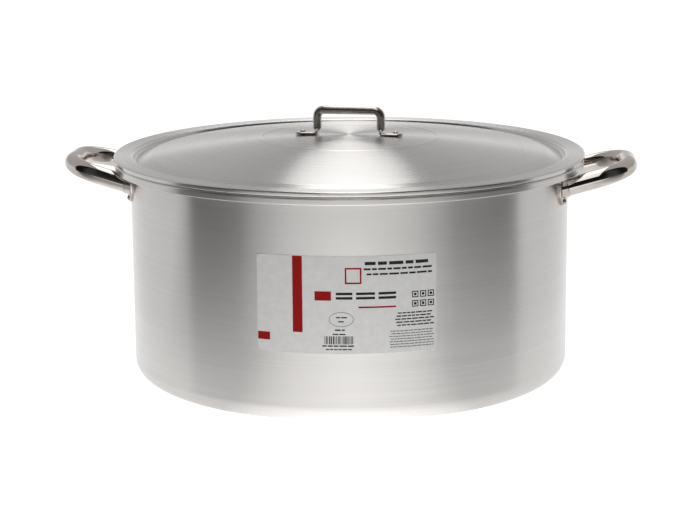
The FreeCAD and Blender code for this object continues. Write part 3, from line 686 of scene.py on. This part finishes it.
def wrap_print(name, ink):
    thicken(ink, INK)
    bmesh.ops.translate(ink, vec=(0, 0, FILM - INK / 4), verts=ink.verts[:])
    wrap_on_wall(ink, WALL_RADIUS, LABEL_TURN, LABEL_MIDDLE)
    return finish_mesh(name, ink, "pot")


film = rounded_blank(LABEL_WIDTH, LABEL_TALL, LABEL_CORNER, 8)
cut_into_strips(film, LABEL_WIDTH)
thicken(film, FILM)
wrap_on_wall(film, WALL_RADIUS, LABEL_TURN, LABEL_MIDDLE)
label_film = finish_mesh("label_sheet", film, "pot")

chance = random.Random(7)
red = bmesh.new()
print_bar(red, -46, -37.5, -24, 42.0)
print_bar(red, -77.6, -66.5, -32.2, -25.3)
print_bar(red, -27, -13, 4, 12)
print_bar(red, 10, 42, -2.6, -1.2)
print_frame(red, (5.7, 25.3), 14, 14, 1.4)
label_red = wrap_print("label_red_print", red)

dark = bmesh.new()
for left, right in ((-9, 5), (8, 24), (27, 42)):
    print_bar(dark, left, right, 8.8, 11)
    print_bar(dark, left, right, 5, 7.2)
print_words(dark, 15.5, 76.4, 35.8, 2.8, chance)
print_words(dark, 14.6, 77, 30.9, 1.7, chance)
print_words(dark, 17, 76, 26.5, 1.6, chance)
for column in range(3):
    for row in range(2):
        place = (58.7 + 7 * column, 7.7 - 8.1 * row)
        print_frame(dark, place, 5.6, 5.6, 0.8)
        print_bar(dark, place[0] - 1.1, place[0] + 1.1, place[1] - 1.1, place[1] + 1.1)
for line in range(5):
    print_words(dark, 41 + chance.uniform(-1, 3), 75.5, -8 - 2.65 * line, 1.1, chance)
print_oval(dark, (-4.6, -12.3), 20.8, 12.8, 0.35)
print_words(dark, -9, 0.5, -10.6, 1.1, chance)
print_words(dark, -7, -1, -14.2, 1.1, chance)
print_words(dark, -10, -1.5, -21.5, 1.2, chance)
print_words(dark, -12, 0.5, -25.2, 1.0, chance)
place = -18.8
while place < 6:
    bar = chance.choice((0.35, 0.6, 0.95))
    print_bar(dark, place, place + bar, -33.8, -26.9)
    place += bar + chance.choice((0.35, 0.5, 0.8))
print_words(dark, -20.8, 6, -35.4, 1.2, chance)
print_words(dark, -17.7, 4.2, -38.4, 1.0, chance)
label_dark = wrap_print("label_dark_print", dark)

grey = bmesh.new()
for line in range(7):
    print_words(grey, 36.8 + chance.uniform(-0.5, 1.5), 75.5, -23.5 - 2.3 * line, 0.75, chance)
label_grey = wrap_print("label_grey_print", grey)
for piece in (label_film, label_red, label_dark, label_grey):
    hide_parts("label")

# %% [markdown]
# ## Finishes
#
# Every finish starts from the real stuff and is made from shader nodes alone. Colours are written as
# sRGB hex and turned to linear by one function. Patterns read the pot's own coordinates in metres,
# so their scale is a real one.

# %% Node helpers
def from_hex(code):
    channels = [int(code[index:index + 2], 16) / 255 for index in (0, 2, 4)]
    linear = [value / 12.92 if value <= 0.04045 else ((value + 0.055) / 1.055) ** 2.4
              for value in channels]
    return (*linear, 1)


def feed(tree, node, sockets):
    """Fills a node's sockets with values or links."""
    for name, value in sockets.items():
        if isinstance(value, bpy.types.NodeSocket):
            tree.links.new(value, node.inputs[name])
        else:
            node.inputs[name].default_value = value


def add_node(tree, kind, sockets=None, **settings):
    """Adds a node, sets its properties and fills its sockets."""
    node = tree.nodes.new(kind)
    for name, value in settings.items():
        setattr(node, name, value)
    feed(tree, node, sockets or {})
    return node


def calculate(tree, operation, first, second=0.0):
    return add_node(tree, "ShaderNodeMath", {0: first, 1: second}, operation=operation).outputs[0]


def spread(tree, value, low, high, from_low=0.3, from_high=0.7):
    """Maps a noise value onto a range."""
    return add_node(tree, "ShaderNodeMapRange", {
        "Value": value, "From Min": from_low, "From Max": from_high,
        "To Min": low, "To Max": high}).outputs["Result"]


def blend_colours(tree, share, first, second):
    """Mixes two hex colours by a value."""
    ramp = add_node(tree, "ShaderNodeValToRGB", {"Fac": share})
    ramp.color_ramp.elements[0].color = from_hex(first)
    ramp.color_ramp.elements[1].color = from_hex(second)
    return ramp.outputs["Color"]


def grey_ramp(tree, value, stops):
    """Turns a value into a brightness. stops are (value, brightness), in order."""
    ramp = add_node(tree, "ShaderNodeValToRGB", {"Fac": value})
    elements = ramp.color_ramp.elements
    elements[0].position = stops[0][0]
    elements[1].position = stops[-1][0]
    for position, _ in stops[1:-1]:
        elements.new(position)
    for element, (_, brightness) in zip(elements, stops):
        element.color = (brightness, brightness, brightness, 1)
    return ramp.outputs["Color"]


def from_axis(tree, axes):
    """Distance from the vertical axis."""
    return calculate(tree, "SQRT", calculate(
        tree, "ADD", calculate(tree, "MULTIPLY", axes["X"], axes["X"]),
        calculate(tree, "MULTIPLY", axes["Y"], axes["Y"])))


def noise(tree, vector, scale, detail=2.0):
    return add_node(tree, "ShaderNodeTexNoise", {
        "Vector": vector, "Scale": scale, "Detail": detail}).outputs["Fac"]


def new_material(name):
    """A material with an empty Principled shader: returns material, tree, shader, coordinates."""
    material = bpy.data.materials.new(name)
    material.use_nodes = True
    tree = material.node_tree
    tree.nodes.clear()
    shader = add_node(tree, "ShaderNodeBsdfPrincipled")
    add_node(tree, "ShaderNodeOutputMaterial", {"Surface": shader.outputs[0]})
    place = add_node(tree, "ShaderNodeTexCoord").outputs["Object"]
    return material, tree, shader, place


def relief(tree, height, strength, depth):
    return add_node(tree, "ShaderNodeBump", {
        "Height": height, "Strength": strength, "Distance": depth}).outputs["Normal"]


# %% [markdown]
# ## Spun aluminium
#
# Sheet aluminium is turned on a lathe and brushed while it spins, so every fine scratch runs round
# the pot. A highlight therefore smears across the scratches: up and down the wall, and outward from
# the lid's middle, which gives the bright wedges on the lid. The shader takes its direction from the
# axis of the pot. Real scratches are about a tenth of a millimetre apart; the fine pattern is ten
# times coarser, 700 to the metre, so that it can be seen at all. A wider one, 120 to the metre, is
# the slight unevenness that the brush leaves from pass to pass.

# %% Spun aluminium
def spun_aluminium(name, dark, light, smooth, rough, anisotropy):
    material, tree, shader, place = new_material(name)
    axes = add_node(tree, "ShaderNodeSeparateXYZ", {0: place}).outputs
    across = calculate(tree, "ADD", from_axis(tree, axes), axes["Z"])

    def brushed(round_scale, across_scale, detail):
        """A noise drawn out round the pot, with its scales per metre."""
        stretched = add_node(tree, "ShaderNodeCombineXYZ", {
            "X": calculate(tree, "MULTIPLY", axes["X"], round_scale),
            "Y": calculate(tree, "MULTIPLY", axes["Y"], round_scale),
            "Z": calculate(tree, "MULTIPLY", across, across_scale)})
        return noise(tree, stretched.outputs[0], 1.0, detail)

    fine = brushed(5.0, 700.0, 3.0)
    wide = brushed(3.0, 120.0, 1.0)
    lay = add_node(tree, "ShaderNodeCombineXYZ", {
        "X": calculate(tree, "MULTIPLY", axes["Y"], -1.0), "Y": axes["X"]}).outputs[0]
    along = add_node(tree, "ShaderNodeVectorMath", {0: lay}, operation="NORMALIZE").outputs[0]
    both = calculate(tree, "ADD", calculate(tree, "MULTIPLY", fine, 0.85),
                     calculate(tree, "MULTIPLY", wide, 0.15))
    feed(tree, shader, {
        "Metallic": 1.0,
        "Base Color": blend_colours(tree, spread(tree, both, 0.0, 1.0), dark, light),
        "Roughness": spread(tree, both, rough, smooth),
        "Anisotropic": anisotropy,
        "Anisotropic Rotation": 0.25,
        "Tangent": along,
        "Normal": relief(tree, fine, 0.02, 0.0002),
    })
    return material


pot_metal = spun_aluminium("spun_aluminium_pot", "D5D2CF", "DAD8D6", 0.29, 0.32, 1.0)
lid_metal = spun_aluminium("spun_aluminium_lid", "D5D2CF", "DAD8D6", 0.25, 0.28, 1.0)

# %% [markdown]
# ## Polished steel
#
# The handles are stainless steel, polished on a wheel until they mirror the room. What keeps the
# mirror from looking like chrome is a slightly warm tint, a very faint waviness left by bending and
# polishing, and thin haze where hands have been. The lid's bar is the same steel with a satin finish,
# the plates are duller as they come from the press, and the rivets are a little brighter.

# %% Polished steel and rivets
def polished_steel(name, dark, light, smooth, rough, wave):
    material, tree, shader, place = new_material(name)
    haze = noise(tree, place, 45.0, 4.0)
    scuffs = noise(tree, add_node(tree, "ShaderNodeMapping", {
        "Vector": place, "Scale": (400.0, 60.0, 400.0)}).outputs[0], 1.0, 2.0)
    feed(tree, shader, {
        "Metallic": 1.0,
        "Base Color": blend_colours(tree, spread(tree, haze, 0.0, 1.0), dark, light),
        "Roughness": calculate(tree, "ADD", spread(tree, haze, smooth, rough),
                               calculate(tree, "MULTIPLY", scuffs, 0.03)),
        "Normal": relief(tree, noise(tree, place, 70.0, 1.0), wave, 0.001),
    })
    return material


handle_metal = polished_steel("polished_stainless", "BDB5AE", "D2CBC5", 0.04, 0.09, 0.05)
bar_metal = polished_steel("satin_stainless", "C4BDB7", "D6D0CA", 0.2, 0.26, 0.05)
plate_metal = polished_steel("pressed_stainless", "B4ACA6", "CCC5BF", 0.12, 0.2, 0.12)
rivet_steel = polished_steel("rivet_steel", "B9B3AE", "D6D1CC", 0.1, 0.2, 0.1)

# %% [markdown]
# ## Film and inks
#
# The label is white satin film. It takes faint ripples from the brushed wall beneath it. The inks
# are thin and a little uneven, as flexographic print is.

# %% Film and inks
def printed(name, dark, light, smooth, rough, grain, depth):
    material, tree, shader, place = new_material(name)
    mottle = noise(tree, place, grain, 3.0)
    ripple = noise(tree, add_node(tree, "ShaderNodeMapping", {
        "Vector": place, "Scale": (25.0, 25.0, 160.0)}).outputs[0], 1.0, 2.0)
    feed(tree, shader, {
        "Base Color": blend_colours(tree, spread(tree, mottle, 0.0, 1.0), dark, light),
        "Specular IOR Level": 0.15,
        "Roughness": spread(tree, mottle, rough, smooth),
        "Normal": relief(tree, ripple, depth, 0.0003),
    })
    return material


film_white = printed("satin_film", "DAD9D7", "E2E1DF", 0.35, 0.45, 180.0, 0.15)
ink_red = printed("red_ink", "8E0003", "A00206", 0.5, 0.6, 900.0, 0.1)
ink_dark = printed("dark_ink", "1A1A1C", "2A2A2D", 0.4, 0.5, 900.0, 0.1)
ink_grey = printed("grey_ink", "5E5E61", "76767A", 0.4, 0.5, 900.0, 0.1)

finishes = {
    "pot_shell": pot_metal, "lid_spun_shell": lid_metal, "right_loop": handle_metal,
    "left_loop": handle_metal, "lid_bridge": bar_metal, "label_sheet": film_white,
    "label_red_print": ink_red, "label_dark_print": ink_dark, "label_grey_print": ink_grey,
}
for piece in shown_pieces():
    finish = finishes.get(piece.name)
    if finish is None:
        finish = rivet_steel if "rivet" in piece.name else plate_metal
    piece.data.materials.clear()
    piece.data.materials.append(finish)
    print("%-32s %s" % (piece.name, finish.name))

# %% [markdown]
# ## Studio
#
# The pot stands on a plain white sweep under one long soft light. Brushed and polished metal shows
# whatever is round it, so the surroundings matter more than the lamp. The sweep's glow is painted
# light: an emission that stands in for how light and shade fall on the floor. It is even along a
# lane that runs away from the viewer. Painted shade makes it a little darker behind and beside the
# pot, and a painted pool of light makes it brightest just in front of it. It falls off to the front
# left and right and near the viewer, where the room is dark too. A white backdrop wraps round behind.

# %% Floor and light
def turned_to_camera(obj):
    obj.matrix_world = Matrix.Rotation(CAMERA_TURN, 4, "Z") @ obj.matrix_world


SWEEP_FRONT = -2.6
SWEEP_BACK = 7.0
SWEEP_HALF = 1.6                    # half its width at the front
SWEEP_FAR_HALF = 3.2                # and at the back
# the lane is a strip of painted light on the floor, fading to painted shade at its sides
LANE_HALF = 0.33                    # half the lane's width at the pot
LANE_OPENING = 0.185                # it widens by this share of the way back
BACKDROP_TURN = CAMERA_TURN + math.radians(3.0)
sweep = bmesh.new()
bmesh.ops.create_grid(sweep, x_segments=24, y_segments=48, size=0.5)
for point in sweep.verts:
    share = point.co.y + 0.5
    half = SWEEP_HALF + (SWEEP_FAR_HALF - SWEEP_HALF) * share
    point.co = (point.co.x * 2 * half, SWEEP_FRONT + (SWEEP_BACK - SWEEP_FRONT) * share, 0)
sweep_mesh = bpy.data.meshes.new("sweep")
sweep.to_mesh(sweep_mesh)
sweep.free()
floor = bpy.data.objects.new("sweep", sweep_mesh)
bpy.context.scene.collection.objects.link(floor)
turned_to_camera(floor)

floor_painted_light, tree, shader, place = new_material("sweep_painted_light")
axes = add_node(tree, "ShaderNodeSeparateXYZ", {0: place}).outputs
lane = calculate(tree, "ADD", calculate(tree, "MULTIPLY", axes["Y"], LANE_OPENING), LANE_HALF)
beside = calculate(tree, "SUBTRACT", calculate(tree, "ABSOLUTE", axes["X"]), lane)
reach = calculate(tree, "ADD", spread(tree, axes["X"], 0.4, 0.9, -0.3, 0.3),
                  spread(tree, axes["Y"], 0.0, 2.5, 0.2, 2.0))
# painted light along the lane, falling off to painted shade on either side
painted_lane_light = grey_ramp(tree, calculate(tree, "DIVIDE", beside, reach),
                    ((0.0, 0.94), (0.1, 0.5), (0.4, 0.2), (1.0, 0.05)))
# 1 straight toward the viewer, 0 to either side, -1 behind the pot
facing = calculate(tree, "MULTIPLY", calculate(
    tree, "DIVIDE", axes["Y"], from_axis(tree, axes)), -1.0)
# a painted pool of light: the floor glows brightest just in front of the pot
painted_light_pool = spread(tree, facing, 0.0, 1.7, 0.6, 1.0)
# painted shade: behind and beside the pot the floor glows less, least of all close to the pot
rear = calculate(tree, "MULTIPLY", spread(tree, facing, 1.0, 0.0, 0.02, 0.18),
                 spread(tree, axes["Y"], 0.62, 0.92, 0.2, 1.8))
# painted shade: the floor's glow fades out toward the viewer
front = spread(tree, axes["Y"], 0.02, 1.0, -1.4, -0.85)
# painted light and shade: the floor's glow joins the lit lane, the pool in front and the dimmer floor
# behind
painted_floor_light = calculate(tree, "MULTIPLY", front, calculate(tree, "MAXIMUM", painted_light_pool, calculate(
    tree, "MAXIMUM", painted_lane_light, rear)))
feed(tree, shader, {
    "Base Color": blend_colours(tree, noise(tree, place, 2.0), "9A9A9A", "A0A0A0"),
    "Roughness": 0.9,
    "Specular IOR Level": 0.1,
    "Emission Color": blend_colours(tree, noise(tree, place, 3.0), "FCFCFC", "FFFFFF"),
    "Emission Strength": painted_floor_light,
})
floor.data.materials.append(floor_painted_light)

soft_light = bpy.data.lights.new("long_soft_light", "AREA")
soft_light.shape = "RECTANGLE"
soft_light.size = 0.5
soft_light.size_y = 3.6
soft_light.energy = 8.3
soft_box = bpy.data.objects.new("long_soft_light", soft_light)
bpy.context.scene.collection.objects.link(soft_box)
soft_box.matrix_world = Matrix.Translation((0, 0.4, 1.45))
turned_to_camera(soft_box)

world = bpy.data.worlds.new("studio")
bpy.context.scene.world = world
world.use_nodes = True
tree = world.node_tree
tree.nodes.clear()
direction = add_node(tree, "ShaderNodeTexCoord").outputs["Generated"]
parts = add_node(tree, "ShaderNodeSeparateXYZ", {0: direction}).outputs
flat = add_node(tree, "ShaderNodeCombineXYZ", {"X": parts["X"], "Y": parts["Y"]}).outputs[0]
level = add_node(tree, "ShaderNodeVectorMath", {0: flat}, operation="NORMALIZE").outputs[0]
behind = add_node(tree, "ShaderNodeVectorMath", {
    0: level, 1: (-math.sin(BACKDROP_TURN), math.cos(BACKDROP_TURN), 0)},
    operation="DOT_PRODUCT").outputs["Value"]
backdrop = spread(tree, behind, 0.0, 1.0, 0.02, 0.07)
# the viewer's side of the room: dark, but for a little light to the front left and right
dark_side = grey_ramp(tree, calculate(tree, "MULTIPLY", behind, -1.0),
                      ((0.35, 0.02), (0.6, 0.11), (0.85, 0.11), (0.96, 0.02)))
room = calculate(tree, "MAXIMUM", backdrop, dark_side)
height = spread(tree, parts["Z"], 0.85, 0.52, 0.1, 0.2)
add_node(tree, "ShaderNodeOutputWorld", {"Surface": add_node(
    tree, "ShaderNodeBackground", {"Color": calculate(tree, "MULTIPLY", room, height),
                                   "Strength": 1.0}).outputs[0]})

bpy.context.scene.view_settings.view_transform = "Standard"
